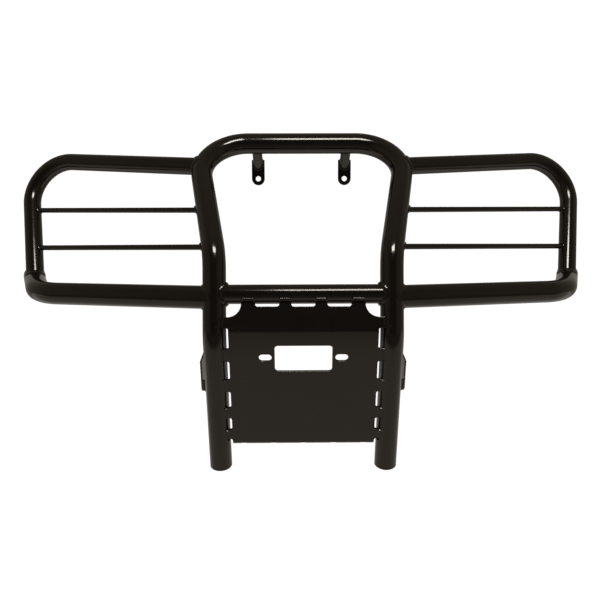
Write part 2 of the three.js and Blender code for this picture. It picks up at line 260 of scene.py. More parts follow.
def new_material(name):
    """A material with its shader, its nodes and the place on the guard that its patterns follow."""
    material = bpy.data.materials.new(name)
    material.use_nodes = True
    shader = material.node_tree.nodes["Principled BSDF"]
    flow = Flow(material.node_tree)
    place = flow.node("ShaderNodeTexCoord", output="Object")
    return material, shader, flow, place


# Finishes: colours, and lumps to the metre in each pattern

COAT_DEEP = (0.0026, 0.0021, 0.0016, 1)
COAT_PALE = (0.0046, 0.0037, 0.0029, 1)
COAT_RUBBED = (0.05, 0.046, 0.041, 1)
COAT_GLEAM = (1, 0.94, 0.87, 1)
COAT_SHINE = 0.45
COAT_CLOUDS, COAT_NIBS = 14, 230
COAT_STREAKS = {"Rotation": (0.5, 0.3, 0.9), "Scale": (60, 900, 420)}

PLUG_DEEP = (0.011, 0.011, 0.011, 1)
PLUG_PALE = (0.018, 0.0175, 0.017, 1)
PLUG_SCUFFED = (0.045, 0.044, 0.042, 1)
PLUG_CLOUDS, PLUG_SCUFFS, PLUG_GRAIN = 40, 320, 1500
PLUG_GRAIN_DEPTH = 0.00008


def gloss_powder_coat(name, roughness, peel, peel_depth):
    """Black powder coat: glossy, faintly warm, with orange peel, dust nibs and light handling marks."""
    material, shader, flow, place = new_material(name)
    clouds = noise(flow, place, COAT_CLOUDS, detail=4, rough=0.6)
    skin = noise(flow, place, peel, detail=3, rough=0.45)
    fine = noise(flow, place, peel * 5, detail=2, rough=0.5)
    dust = noise(flow, place, COAT_NIBS, detail=1, rough=0.3)
    nibs = above(flow, dust, low=0.74, high=0.8)
    streaked = flow.node("ShaderNodeMapping", {}, {"Vector": place, **COAT_STREAKS})
    hairlines = above(flow, noise(flow, streaked, 1, detail=2, rough=0.6), low=0.66, high=0.74)
    rubbed = hairlines * above(flow, clouds, low=0.5, high=0.68)
    tone = blend(flow, clouds, COAT_DEEP, COAT_PALE)
    tone = blend(flow, rubbed * 0.35, tone, COAT_RUBBED)
    tone.into(shader.inputs["Base Color"])
    (roughness + clouds * 0.09 + fine * 0.03 + rubbed * 0.16).into(shader.inputs["Roughness"])
    relief = skin + fine * 0.12 + nibs * 0.8
    bump(flow, relief, strength=0.4, distance=peel_depth).into(shader.inputs["Normal"])
    shader.inputs["Specular IOR Level"].default_value = COAT_SHINE
    shader.inputs["Specular Tint"].default_value = COAT_GLEAM
    return material


def moulded_plug(name):
    """Black polyethylene with a fine moulded grain, duller than the coat."""
    material, shader, flow, place = new_material(name)
    grain = noise(flow, place, PLUG_GRAIN, detail=3, rough=0.6)
    clouds = noise(flow, place, PLUG_CLOUDS, detail=3, rough=0.5)
    scuffs = above(flow, noise(flow, place, PLUG_SCUFFS, detail=4, rough=0.7), low=0.6, high=0.72)
    tone = blend(flow, clouds, PLUG_DEEP, PLUG_PALE)
    tone = blend(flow, scuffs * 0.4, tone, PLUG_SCUFFED)
    tone.into(shader.inputs["Base Color"])
    (0.42 + grain * 0.14 + scuffs * 0.1).into(shader.inputs["Roughness"])
    relief = grain + scuffs * 0.3
    bump(flow, relief, strength=0.35, distance=PLUG_GRAIN_DEPTH).into(shader.inputs["Normal"])
    return material


tube_coat = gloss_powder_coat("tube_gloss_black", roughness=0.07, peel=330, peel_depth=0.00001)
plate_coat = gloss_powder_coat("plate_gloss_black", roughness=0.12, peel=260, peel_depth=0.00006)
weld_coat = gloss_powder_coat("weld_gloss_black", roughness=0.1, peel=420, peel_depth=0.00002)
plug_plastic = moulded_plug("plug_black_plastic")


# Making pieces

def show(name, mesh, material, node=None, sharp=SHARP):
    """Makes a finished mesh a piece of the guard, standing for its CAD solid if it has one."""
    piece = bpy.data.objects.new(name, mesh)
    bpy.context.scene.collection.objects.link(piece)
    mesh.materials.clear()
    mesh.materials.append(material)
    mesh.shade_smooth()
    mesh.set_sharp_from_angle(angle=sharp)
    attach(piece, "root")
    if node:
        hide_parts(node)


def to_mesh(name, shape):
    """Merges a shape's doubles and hands it over as a mesh."""
    bmesh.ops.remove_doubles(shape, verts=shape.verts[:], dist=MERGED * MM)
    mesh = bpy.data.meshes.new(name)
    shape.to_mesh(mesh)
    shape.free()
    return mesh


def rim_of(made):
    """The open edges among what was just made."""
    return [part for part in made if isinstance(part, bmesh.types.BMEdge) and part.is_boundary]


def bent_skin(corners, bends, diameter, faces):
    """A tube's outer skin: a ring pushed straight, then turned about the centre of each bend."""
    skin = bmesh.new()
    headings = [(b - a).normalized() for a, b in zip(corners, corners[1:])]
    stand = headings[0].to_track_quat("Z", "Y").to_matrix().to_4x4()
    ring_place = Matrix.Translation(corners[0]) @ stand
    bmesh.ops.create_circle(skin, segments=faces, radius=diameter * MM / 2, matrix=ring_place)
    rim = skin.edges[:]
    reached = corners[0]
    for k, corner in enumerate(corners[1:]):
        bending = k < len(bends)
        into = headings[k]
        turn = into.angle(headings[k + 1]) if bending else 0
        radius = bends[k] * MM if bending else 0
        stop = corner - into * radius * math.tan(turn / 2)
        pushed = bmesh.ops.extrude_edge_only(skin, edges=rim)["geom"]
        ends = [part for part in pushed if isinstance(part, bmesh.types.BMVert)]
        bmesh.ops.translate(skin, verts=ends, vec=stop - reached)
        rim = rim_of(pushed)
        reached = stop
        if bending:
            axle = into.cross(headings[k + 1]).normalized()
            centre = stop + axle.cross(into) * radius
            steps = max(2, math.ceil(turn / BEND_STEP))
            corners_of_rim = dict.fromkeys(v for e in rim for v in e.verts)
            turned = bmesh.ops.spin(
                skin, geom=[*corners_of_rim, *rim], cent=centre, axis=axle,
                angle=turn, steps=steps, use_merge=False, use_duplicate=False,
            )["geom_last"]
            rim = [part for part in turned if isinstance(part, bmesh.types.BMEdge)]
            reached = corner + headings[k + 1] * radius * math.tan(turn / 2)
    bmesh.ops.remove_doubles(skin, verts=skin.verts[:], dist=MERGED * MM)
    bmesh.ops.recalc_face_normals(skin, faces=skin.faces[:])
    return skin


def solid_core(corners, bends, diameter, faces):
    """A solid bar over a tube's line, for coping what is welded to it. It isn't shown."""
    core = bent_skin(corners, bends, diameter, faces)
    bmesh.ops.holes_fill(core, edges=core.edges[:], sides=faces)
    bmesh.ops.recalc_face_normals(core, faces=core.faces[:])
    holder = bpy.data.objects.new("core", to_mesh("core", core))
    bpy.context.scene.collection.objects.link(holder)
    holder.hide_render = True
    return holder


def cut_away(name, mesh, wall, cutters):
    """Gives a skin its wall, then copes it to each neighbour."""
    work = bpy.data.objects.new(name, mesh)
    bpy.context.scene.collection.objects.link(work)
    if wall:
        bore = work.modifiers.new("bore", "SOLIDIFY")
        bore.thickness = wall * MM
        bore.offset = -1
    for cutter in cutters:
        cope = work.modifiers.new("cope", "BOOLEAN")
        cope.operation = "DIFFERENCE"
        cope.solver = "EXACT"
        cope.object = cutter
    graph = bpy.context.evaluated_depsgraph_get()
    finished = bpy.data.meshes.new_from_object(work.evaluated_get(graph))
    bpy.data.objects.remove(work)
    finished.name = name
    return finished


class Tube:
    """One tube or bar: the line it is bent to, its skin, and the core that trims its neighbours."""

    def __init__(self, line, bends, diameter, wall, faces=TUBE_FACES):
        self.line, self.bends = line, bends
        self.diameter, self.wall, self.faces = diameter, wall, faces
        shape = bent_skin(line, bends, diameter, faces)
        self.skin = BVHTree.FromBMesh(shape)
        self.mesh = to_mesh("skin", shape)

    def core(self):
        return solid_core(self.line, self.bends, self.diameter, self.faces)

    def piece(self, name, node, cutters=()):
        """Copes the tube and shows it. A bar has no wall, so it is cut from its solid core."""
        mesh = self.mesh
        if not self.wall:
            bar = self.core()
            mesh = bar.data
            bpy.data.objects.remove(bar)
        show(name, cut_away(name, mesh, self.wall, cutters), tube_coat, node)


# Welds

# One ripple's heights, then how far each joint's bead reaches and how deep its middle lies. Beads on the top
# tabs are piled up instead, so their middle stands proud.
RIPPLE = (-1, 0.3, 1, 0.5, -0.4)
RIPPLE_PITCH = 3.2
RIPPLE_HEIGHT = 0.09
BEAD_ROUNDNESS = 7
BEAD_TIP, BEAD_SWELL = 0.55, 0.15
TUBE_BEAD, TUBE_BEAD_SINK = 4.6, 3.5
EQUAL_BEAD, EQUAL_BEAD_SINK = 2.8, 3
ROD_BEAD, ROD_BEAD_SINK = 3.4, 0.8
STAY_BEAD, STAY_BEAD_SINK = 2.2, 1
PLATE_BEAD, PLATE_BEAD_SINK = 2.6, 2.4
TOP_BEAD, TOP_BEAD_SINK = 4.3, -1.2
BRACKET_BEAD = 2.2

# How far before a tube's end its seam's lines start, and where the sheets' seams start before they are pushed
# out, or up, to what they are welded to
SEAM_BACK = 60
STAY_SEAM_BACK, TAB_SEAM_BACK = 45, 50
TOOTH_SEAM_X = 100
FLANGE_SEAM_UP = 5
TOP_SEAM_UP = 20
BRACKET_SEAM_OUT = 20
BRACKET_SEAM_INSET = 1


def meeting(neighbour, start, heading):
    """Where a line first meets a neighbour's skin, and the skin's outward normal there."""
    touch, normal, _, _ = neighbour.ray_cast(start, heading)
    if touch is not None and normal.dot(heading) > 0:
        normal = -normal
    return touch, normal


def saddle(tube_line, diameter, neighbour, sink, start_back=SEAM_BACK):
    """Where a tube's end meets its neighbour: lines along its skin, followed until they touch, then sunk into
    both."""
    heading = (tube_line[1] - tube_line[0]).normalized()
    begin = tube_line[1] - heading * start_back * MM
    arm = heading.orthogonal().normalized() * diameter * MM / 2
    count = round(math.pi * diameter / RIPPLE_PITCH) * len(RIPPLE)
    seam = []
    for k in range(count):
        spoke = Matrix.Rotation(2 * math.pi * k / count, 3, heading) @ arm
        touch, outward = meeting(neighbour, begin + spoke, heading)
        if touch is not None:
            seam.append(touch - (outward + spoke.normalized()) * sink * MM)
    return seam


def bead(name, seams, leg, sink=0, closed=True):
    """Weld beads: a rippled round run along each seam, thinned at the ends of an open one.
    leg is how far the bead reaches over each surface, and sink how deep its middle lies under them."""
    radius = math.hypot(leg + sink, sink)
    run = bpy.data.curves.new(name, "CURVE")
    run.dimensions = "3D"
    run.bevel_depth = radius * MM
    run.bevel_resolution = BEAD_ROUNDNESS
    run.use_fill_caps = not closed
    for seam in seams:
        line = run.splines.new("POLY")
        line.points.add(len(seam) - 1)
        line.use_cyclic_u = closed
        for k, (point, place) in enumerate(zip(line.points, seam)):
            point.co = (*place, 1)
            point.radius = 1 + RIPPLE[k % len(RIPPLE)] * RIPPLE_HEIGHT / radius
            if not closed:
                from_end = min(k, len(seam) - 1 - k)
                point.radius *= min(1, BEAD_TIP + BEAD_SWELL * from_end)
    holder = bpy.data.objects.new(name, run)
    mesh = bpy.data.meshes.new_from_object(holder)
    bpy.data.objects.remove(holder)
    shape = bmesh.new()
    shape.from_mesh(mesh)
    bmesh.ops.remove_doubles(shape, verts=shape.verts[:], dist=MERGED * MM)
    bmesh.ops.recalc_face_normals(shape, faces=shape.faces[:])
    show(name, to_mesh(name, shape), weld_coat)


def straight_seam(first, last, heading, neighbour, face=Vector(), sink=0):
    """A seam along a sheet's edge: points from first to last, each pushed on until it touches the neighbour,
    then sunk into it and into the sheet. face points out of the sheet's welded side."""
    length = (last - first).length / MM
    count = round(length / RIPPLE_PITCH * len(RIPPLE))
    seam = []
    for k in range(count + 1):
        touch, outward = meeting(neighbour, first.lerp(last, k / count), heading)
        if touch is not None:
            seam.append(touch - (outward + face) * sink * MM)
    return seam


# Hoop, cross tube and wings

hoop_half = (LEG_FOOT, LEG_KNEE, HOOP_WAIST, HOOP_CORNER)
hoop_line = [spot(p) for p in hoop_half] + [spot(p, LEFT) for p in reversed(hoop_half)]
hoop = Tube(hoop_line, (*HOOP_BENDS, *reversed(HOOP_BENDS)), MAIN_TUBE, MAIN_WALL)
hoop_core = hoop.core()
hoop.piece("hoop", "main_hoop")

cross_end = between(LEG_KNEE, HOOP_WAIST, CROSS_HEIGHT)
cross = Tube([spot(cross_end, LEFT), spot(cross_end)], (), BRANCH_TUBE, BRANCH_WALL)
cross.piece("cross_bar", "cross_tube", [hoop_core])
cross_core = cross.core()

wing_lower_start = between(LEG_KNEE, HOOP_WAIST, LOWER_WING_HEIGHT)
wing_lower_end = past(LOWER_WING_CORNER, WING_LANDING, LOWER_WING_TAIL)
wing_upper_edge = between(HOOP_WAIST, HOOP_CORNER, UPPER_WING_HEIGHT)
wing_upper_start = past(UPPER_WING_CORNER, wing_upper_edge, UPPER_WING_REACH)


def make_wing(name, side):
    lower_line = [spot(p, side) for p in (wing_lower_start, LOWER_WING_CORNER, wing_lower_end)]
    upper_line = [spot(p, side) for p in (wing_upper_start, UPPER_WING_CORNER, WING_LANDING)]
    lower = Tube(lower_line, (LOWER_WING_BEND,), MAIN_TUBE, MAIN_WALL)
    upper = Tube(upper_line, (UPPER_WING_BEND,), BRANCH_TUBE, BRANCH_WALL)
    lower_core, upper_core = lower.core(), upper.core()
    lower.piece(f"lower_wing_{name}", f"lower_wing_tube_{name}", [hoop_core])
    upper.piece(f"upper_wing_{name}", f"upper_wing_tube_{name}", [hoop_core, lower_core])
    joints = [
        saddle((upper_line[1], upper_line[0]), BRANCH_TUBE, hoop.skin, TUBE_BEAD_SINK),
        saddle((upper_line[1], upper_line[2]), BRANCH_TUBE, lower.skin, TUBE_BEAD_SINK),
        saddle((spot(cross_end, -side), spot(cross_end, side)), BRANCH_TUBE, hoop.skin, TUBE_BEAD_SINK),
    ]
    bead(f"tube_welds_{name}", joints, TUBE_BEAD, TUBE_BEAD_SINK)
    equal_joint = [saddle((lower_line[1], lower_line[0]), MAIN_TUBE, hoop.skin, EQUAL_BEAD_SINK)]
    bead(f"wing_root_weld_{name}", equal_joint, EQUAL_BEAD, EQUAL_BEAD_SINK)
    tacks = []
    for level, (inner_height, outer_height) in ROD_HEIGHTS.items():
        inner = spot(between(HOOP_WAIST, HOOP_CORNER, inner_height), side)
        outer = spot(between(WING_LANDING, UPPER_WING_CORNER, outer_height), side)
        bar = Tube([inner, outer], (), ROD, 0, ROD_FACES)
        bar.piece(f"rod_{level}_{name}", f"grille_rod_{level}_{name}", [hoop_core, upper_core])
        tacks.append(saddle((outer, inner), ROD, hoop.skin, ROD_BEAD_SINK))
        tacks.append(saddle((inner, outer), ROD, upper.skin, ROD_BEAD_SINK))
    bead(f"rod_welds_{name}", tacks, ROD_BEAD, ROD_BEAD_SINK)
    for core in (lower_core, upper_core):
        bpy.data.objects.remove(core)


for name, side in SIDES.items():
    make_wing(name, side)


# Sheet parts

def blank(outline, holes, thickness):
    """A flat sheet cut to an outline, in millimetres on XY, its middle at Z 0. Each loop is a list of
    (x, y, corner radius)."""
    sheet = bmesh.new()
    for loop in (outline, *holes):
        corners = [sheet.verts.new((x, y, 0)) for x, y, _ in loop]
        sheet.faces.new(corners)
        for corner, (_, _, radius) in zip(corners, loop):
            if radius:
                bmesh.ops.bevel(
                    sheet, geom=[corner], offset=radius, offset_type="OFFSET", affect="VERTICES",
                    segments=CORNER_STEPS, profile=0.5, material=-1,
                )
    bmesh.ops.delete(sheet, geom=sheet.faces[:], context="FACES_ONLY")
    bmesh.ops.remove_doubles(sheet, verts=sheet.verts[:], dist=MERGED)
    bmesh.ops.triangle_fill(sheet, edges=sheet.edges[:], use_beauty=True)
    bmesh.ops.recalc_face_normals(sheet, faces=sheet.faces[:])
    if sum(face.normal.z for face in sheet.faces) < 0:
        bmesh.ops.reverse_faces(sheet, faces=sheet.faces[:])
    bmesh.ops.translate(sheet, verts=sheet.verts[:], vec=(0, 0, -thickness / 2))
    raised = bmesh.ops.extrude_face_region(sheet, geom=sheet.faces[:], use_keep_orig=True)["geom"]
    lifted = [part for part in raised if isinstance(part, bmesh.types.BMVert)]
    bmesh.ops.translate(sheet, verts=lifted, vec=(0, 0, thickness))
    bmesh.ops.recalc_face_normals(sheet, faces=sheet.faces[:])
    rims = [e for e in sheet.edges if e.is_manifold and e.calc_face_angle() > CUT_EDGE
            and abs(e.verts[0].co.z - e.verts[1].co.z) < LEVEL]
    bmesh.ops.bevel(
        sheet, geom=rims, offset=SHEET_EDGE, offset_type="OFFSET", affect="EDGES",
        segments=SHEET_EDGE_STEPS, profile=0.5, material=-1,
    )
    return sheet


def fold(sheet, line, angle, radius, along, rise):
    """Folds what lies beyond a line across the sheet. along is the way it runs in Y, and rise the way it
    turns in Z."""
    arc = radius * angle
    steps = [arc * k / FOLD_STEPS for k in range(FOLD_STEPS + 1)]
    for step in (-FOLD_EDGE, *steps, arc + FOLD_EDGE):
        where = line + along * step
        bmesh.ops.bisect_plane(
            sheet, geom=sheet.verts[:] + sheet.edges[:] + sheet.faces[:], dist=LEVEL,
            plane_co=(0, where, 0), plane_no=(0, 1, 0),
        )
    for corner in sheet.verts:
        beyond = (corner.co.y - line) * along
        if beyond <= 0:
            continue
        turned = min(beyond / radius, angle)
        straight = max(0, beyond - arc)
        reach = radius - corner.co.z * rise
        y = reach * math.sin(turned) + straight * math.cos(turned)
        z = radius - reach * math.cos(turned) + straight * math.sin(turned)
        corner.co.y = line + along * y
        corner.co.z = rise * z


def stand(sheet, origin, x_axis, y_axis):
    """Moves a sheet from the cutting table to its place."""
    z_axis = x_axis.cross(y_axis)
    turn = Matrix((x_axis, y_axis, z_axis)).transposed().to_4x4()
    place = Matrix.Translation(origin) @ turn @ Matrix.Scale(MM, 4)
    bmesh.ops.transform(sheet, matrix=place, verts=sheet.verts[:])
    bmesh.ops.recalc_face_normals(sheet, faces=sheet.faces[:])


def box_loop(x, y, half_x, half_y, radius):
    """A rounded box's outline about its middle."""
    return [(x - half_x, y - half_y, radius), (x + half_x, y - half_y, radius),
            (x + half_x, y + half_y, radius), (x - half_x, y + half_y, radius)]


def round_loop(x, y, diameter):
    """A round hole's outline."""
    angles = [2 * math.pi * k / HOLE_FACES for k in range(HOLE_FACES)]
    return [(x + diameter / 2 * math.cos(a), y + diameter / 2 * math.sin(a), 0) for a in angles]


ACROSS = Vector((1, 0, 0))
UP = Vector((0, 0, 1))
up_leg = (Vector(LEG_KNEE) - Vector(LEG_FOOT)).normalized()
plate_front = ACROSS.cross(up_leg)
flange_up = Vector((0, math.sin(FLANGE_LEAN), math.cos(FLANGE_LEAN)))
flange_front = ACROSS.cross(flange_up)
fold_angle = up_leg.angle(flange_up)
fold_setback = FOLD_RADIUS * math.tan(fold_angle / 2)
knee_middle = Vector((0, LEG_KNEE[1], LEG_KNEE[2]))
plate_origin = knee_middle + plate_front * PLATE_AHEAD
flange_origin = plate_origin + up_leg * FOLD_UP


def make_plate():
    """One sheet: comb teeth down both sides, tabs along the top, the fairlead's window and slots, and a
    folded lip."""
    fold_line = FOLD_UP - fold_setback
    flange_zero = fold_line + FOLD_RADIUS * fold_angle - fold_setback
    lip_line = -(PLATE_DOWN - FOLD_RADIUS)
    lip_end = lip_line - FOLD_RADIUS * math.pi / 2 - (LIP_BACK - FOLD_RADIUS)
    top = flange_zero + FLANGE_TOP
    slot_bottom = flange_zero + FLANGE_SLOT_BOTTOM
    relief = flange_zero + RELIEF_UP
    side = [(RELIEF_X, top, 0), (RELIEF_X, relief, RELIEF_RADIUS), (PLATE_EDGE, relief, 0)]
    for upper, lower in COMB:
        side.append((PLATE_EDGE, -upper, 0))
        side.append((COMB_DEPTH_X, -upper, COMB_CORNER))
        side.append((COMB_DEPTH_X, -lower, COMB_CORNER))
        side.append((PLATE_EDGE, -lower, 0))
    side.append((PLATE_EDGE, -COMB_LAST, 0))
    side.append((COMB_DEPTH_X, -COMB_LAST, COMB_CORNER))
    side.append((COMB_DEPTH_X, lip_end, COMB_CORNER))
    slots = []
    for x in (FLANGE_SLOT_PITCH, 0, -FLANGE_SLOT_PITCH):
        right, left = x + FLANGE_SLOT_HALF, x - FLANGE_SLOT_HALF
        slots += [(right, top, 0), (right, slot_bottom, FLANGE_SLOT_CORNER)]
        slots += [(left, slot_bottom, FLANGE_SLOT_CORNER), (left, top, 0)]
    outline = side + [(-x, y, r) for x, y, r in reversed(side)] + slots[::-1]
    lip_middle = lip_line - FOLD_RADIUS * math.pi / 4
    marks = [(k - (LIP_SLOTS - 1) / 2) * LIP_SLOT_PITCH for k in range(LIP_SLOTS)]
    holes = [
        box_loop(0, -WINDOW_DOWN, *WINDOW_HALF, WINDOW_CORNER),
        *[box_loop(x, -SLOT_DOWN, *SLOT_HALF, SLOT_HALF[1] - SLIVER) for x in (SLOT_X, -SLOT_X)],
        *[box_loop(x, lip_middle, *LIP_SLOT_HALF, LIP_SLOT_CORNER) for x in marks],
    ]
    sheet = blank(outline, holes, PLATE_THICK)
    fold(sheet, fold_line, fold_angle, FOLD_RADIUS, along=1, rise=-1)
    fold(sheet, lip_line, math.pi / 2, FOLD_RADIUS, along=-1, rise=-1)
    stand(sheet, spot(plate_origin), ACROSS, up_leg)
    mesh = to_mesh("fairlead_plate", sheet)
    show("fairlead_plate", mesh, plate_coat, "winch_plate", SHEET_SHARP)


def plate_welds(name, side):
    """Short fillets, front and back: each comb tooth to its leg, and each top tab to the cross tube."""
    teeth = [(b, a) for (_, a), (b, _) in zip(COMB, COMB[1:])] + [(COMB_LAST, COMB[-1][1])]
    seams, tab_seams = [], []
    for skin_side in (1, -1):
        face = plate_front * PLATE_THICK / 2 * skin_side
        for lower, upper in teeth:
            first = plate_origin + face + up_leg * -upper + ACROSS * TOOTH_SEAM_X * side
            last = plate_origin + face + up_leg * -lower + ACROSS * TOOTH_SEAM_X * side
            seams.append(straight_seam(spot(first), spot(last), ACROSS * side, hoop.skin,
                                       plate_front * skin_side, PLATE_BEAD_SINK))
        face = flange_front * PLATE_THICK / 2 * skin_side
        first = flange_origin + face + flange_up * FLANGE_SEAM_UP + ACROSS * TOOTH_SEAM_X * side
        last = flange_origin + face + flange_up * RELIEF_UP + ACROSS * TOOTH_SEAM_X * side
        seams.append(straight_seam(spot(first), spot(last), ACROSS * side, hoop.skin,
                                   flange_front * skin_side, PLATE_BEAD_SINK))
        tabs = ((FLANGE_SLOT_PITCH + FLANGE_SLOT_HALF, RELIEF_X),
                (FLANGE_SLOT_HALF, FLANGE_SLOT_PITCH - FLANGE_SLOT_HALF))
        for inner, outer in tabs:
            base = flange_origin + face + flange_up * TOP_SEAM_UP
            first = base + ACROSS * inner * side
            last = base + ACROSS * outer * side
            piled = flange_front * skin_side + UP * (1 + skin_side)
            tab_seams.append(straight_seam(spot(first), spot(last), flange_up, cross.skin,
                                           piled, TOP_BEAD_SINK))
    bead(f"plate_welds_{name}", seams, PLATE_BEAD, PLATE_BEAD_SINK, closed=False)
    bead(f"tab_welds_{name}", tab_seams, TOP_BEAD, TOP_BEAD_SINK, closed=False)


def make_stay(name, side):
    """A flat bolt tab with a rounded foot, and the short tube that holds it behind the top bar."""
    round_foot = TAB_HALF - SLIVER
    tab_outline = [(TAB_HALF, TAB_TOP, TAB_CORNER), (-TAB_HALF, TAB_TOP, TAB_CORNER),
                   (-TAB_HALF, TAB_BOTTOM, round_foot), (TAB_HALF, TAB_BOTTOM, round_foot)]
    tab = blank(tab_outline, [round_loop(0, TAB_BOTTOM + TAB_HALF, TAB_HOLE)], TAB_THICK)
    stand(tab, spot((side * STAY_X, TAB_FRONT + TAB_THICK / 2, 0)), ACROSS, UP)
    show(f"bolt_tab_{name}", to_mesh("tab", tab), tube_coat, f"stay_tab_{name}", SHEET_SHARP)

    root = Vector((side * STAY_X, HOOP_CORNER[1], HOOP_CORNER[2]))
    landing = Vector((side * STAY_X, TAB_FRONT, STAY_END_Z))
    end = past(root, landing, STAY_TUBE)
    stub = Tube([spot(root), spot(end)], (), STAY_TUBE, STAY_WALL)
    behind = bmesh.new()
    bmesh.ops.create_cube(behind, size=STAY_TRIM * MM)
    block_middle = spot((side * STAY_X, TAB_FRONT + STAY_TRIM / 2, STAY_END_Z))
    bmesh.ops.translate(behind, verts=behind.verts[:], vec=block_middle)
    block = bpy.data.objects.new("block", to_mesh("block", behind))
    bpy.context.scene.collection.objects.link(block)
    stub.piece(f"stay_{name}", f"stay_tube_{name}", [hoop_core, block])
    tab_face = bmesh.new()
    upright = Matrix.Translation(spot(landing)) @ Matrix.Rotation(math.pi / 2, 4, "X")
    bmesh.ops.create_grid(tab_face, x_segments=1, y_segments=1, size=STAY_TRIM * MM, matrix=upright)
    tab_skin = BVHTree.FromBMesh(tab_face)
    seams = [
        saddle((spot(end), spot(root)), STAY_TUBE, hoop.skin, STAY_BEAD_SINK, STAY_SEAM_BACK),
        saddle((spot(root), spot(end)), STAY_TUBE, tab_skin, STAY_BEAD_SINK, TAB_SEAM_BACK),
    ]
    tab_face.free()
    bead(f"stay_welds_{name}", seams, STAY_BEAD, STAY_BEAD_SINK)
    bpy.data.objects.remove(block)


def make_bracket(name, side):
    """An ear that lies along the frame rail, folded out of a web welded behind the leg."""
    half, chamfer, radius = BRACKET_HALF, BRACKET_CHAMFER, BRACKET_FOLD
    notch, tip = BRACKET_NOTCH_CORNER, BRACKET_CHAMFER_CORNER
    ear = BRACKET_BACK - BRACKET_FRONT
    web = BRACKET_OUTER - BRACKET_THICK / 2 - BRACKET_WEB_INNER - radius * (2 - math.pi / 2)
    outline = [
        (half, -ear, BRACKET_CORNER), (half, -radius, notch), (BRACKET_WEB_TOP, -radius, notch),
        (BRACKET_WEB_TOP, web, 0), (-half, web, 0), (-half, chamfer, tip), (chamfer - half, -1, notch),
        (-half, -chamfer, tip), (-half, -ear, BRACKET_CORNER),
    ]
    hole = round_loop(0, BRACKET_FRONT - BRACKET_HOLE_BACK, BRACKET_HOLE)
    sheet = blank(outline, [hole], BRACKET_THICK)
    fold(sheet, -radius, math.pi / 2, radius, along=1, rise=-side)
    middle = knee_middle - up_leg * BRACKET_DOWN
    ear_middle = ACROSS * side * (BRACKET_OUTER - BRACKET_THICK / 2)
    web_back = BRACKET_FRONT + BRACKET_THICK / 2
    stand(sheet, spot(middle + ear_middle - plate_front * web_back), up_leg, plate_front)
    node = f"leg_bracket_{name}"
    show(f"frame_bracket_{name}", to_mesh("bracket", sheet), tube_coat, node, SHEET_SHARP)
    seams = []
    for back in (BRACKET_FRONT, BRACKET_FRONT + BRACKET_THICK):
        edge = middle - plate_front * back + ACROSS * side * (BRACKET_OUTER + BRACKET_SEAM_OUT)
        first = edge - up_leg * (half - BRACKET_SEAM_INSET)
        last = edge + up_leg * (BRACKET_WEB_TOP - BRACKET_SEAM_INSET)
        seams.append(straight_seam(spot(first), spot(last), -ACROSS * side, hoop.skin))
    bead(f"bracket_welds_{name}", seams, BRACKET_BEAD, closed=False)


make_plate()
for name, side in SIDES.items():
    plate_welds(name, side)
    make_stay(name, side)
    make_bracket(name, side)


# End plugs

def make_plug(name, node, end, before, side):
    """A push-in plug: a domed cap with a soft rim over the tube's end, and a spigot inside it."""
    rim = MAIN_TUBE / 2
    spigot = rim - MAIN_WALL - PLUG_GAP
    profile = [
        (0, -PLUG_SPIGOT), (spigot - PLUG_LEAD, -PLUG_SPIGOT), (spigot, PLUG_LEAD - PLUG_SPIGOT),
        (spigot, PLUG_SEAT), *[(rim - inset, height) for inset, height in PLUG_EDGE],
        (rim / 2, PLUG_SHOULDER), (0, PLUG_CROWN),
    ]
    cap = bmesh.new()
    dots = [cap.verts.new((x, 0, z)) for x, z in profile]
    line = [cap.edges.new(pair) for pair in zip(dots, dots[1:])]
    bmesh.ops.spin(
        cap, geom=dots + line, cent=(0, 0, 0), axis=(0, 0, 1), angle=2 * math.pi, steps=PLUG_FACES,
        use_merge=True, use_duplicate=False,
    )
    bmesh.ops.remove_doubles(cap, verts=cap.verts[:], dist=MERGED)
    outward = (spot(end, side) - spot(before, side)).normalized()
    turn = outward.to_track_quat("Z", "Y").to_matrix().to_4x4()
    place = Matrix.Translation(spot(end, side)) @ turn @ Matrix.Scale(MM, 4)
    bmesh.ops.transform(cap, matrix=place, verts=cap.verts[:])
    bmesh.ops.recalc_face_normals(cap, faces=cap.faces[:])
    show(name, to_mesh(name, cap), plug_plastic, node)


for name, side in SIDES.items():
    make_plug(f"foot_cap_{name}", f"leg_plug_{name}", LEG_FOOT, LEG_KNEE, side)
    make_plug(f"wing_cap_{name}", f"wing_plug_{name}", wing_lower_end, LOWER_WING_CORNER, side)

for core in (hoop_core, cross_core):
    bpy.data.objects.remove(core)


# Studio, in metres from the middle of the guard's foot

# The floor's painted glow, which the coat reflects but the camera never sees, from in front to far behind,
# each with the two places back from the middle between which it takes over from the one before
FLOOR_HALF = 2.6
FLOOR_GLOW_AHEAD = (0.13, 0.12, 0.1, 1)
FLOOR_GLOWS = {
    "under": (-0.62, -0.4, (0.56, 0.51, 0.45, 1)),
    "behind": (-0.02, 0.12, (0.75, 0.72, 0.68, 1)),
    "far": (0.25, 0.5, (0.28, 0.26, 0.23, 1)),
}
FLOOR_GREY = (0.05, 0.05, 0.05, 1)
FLOOR_ROUGHNESS = 0.9
FLOOR_SEEN = (1.02, 1.02, 1.02, 1)

# The room's glow by direction, with the two slopes between which each takes over
ROOM_AHEAD = (0.08, 0.072, 0.058, 1)
ROOM_SIDES = (0.3, 0.8, (0.26, 0.225, 0.175, 1))
ROOM_TOP = (0.6, 1, (0.24, 0.215, 0.175, 1))
ROOM_BEHIND = (0.3, 0.9, (0.32, 0.3, 0.26, 1))
ROOM_SEEN = (1.05, 1.05, 1.05, 1)

# The window panel, its power in watts
PANEL_PLACE, PANEL_AIM = (0.2, -1.1, 1.7), (0.05, 0, 0.42)
PANEL_WIDTH, PANEL_HEIGHT = 0.62, 0.36
PANEL_POWER = 19
PANEL_COLOUR = (1, 0.99, 0.96)

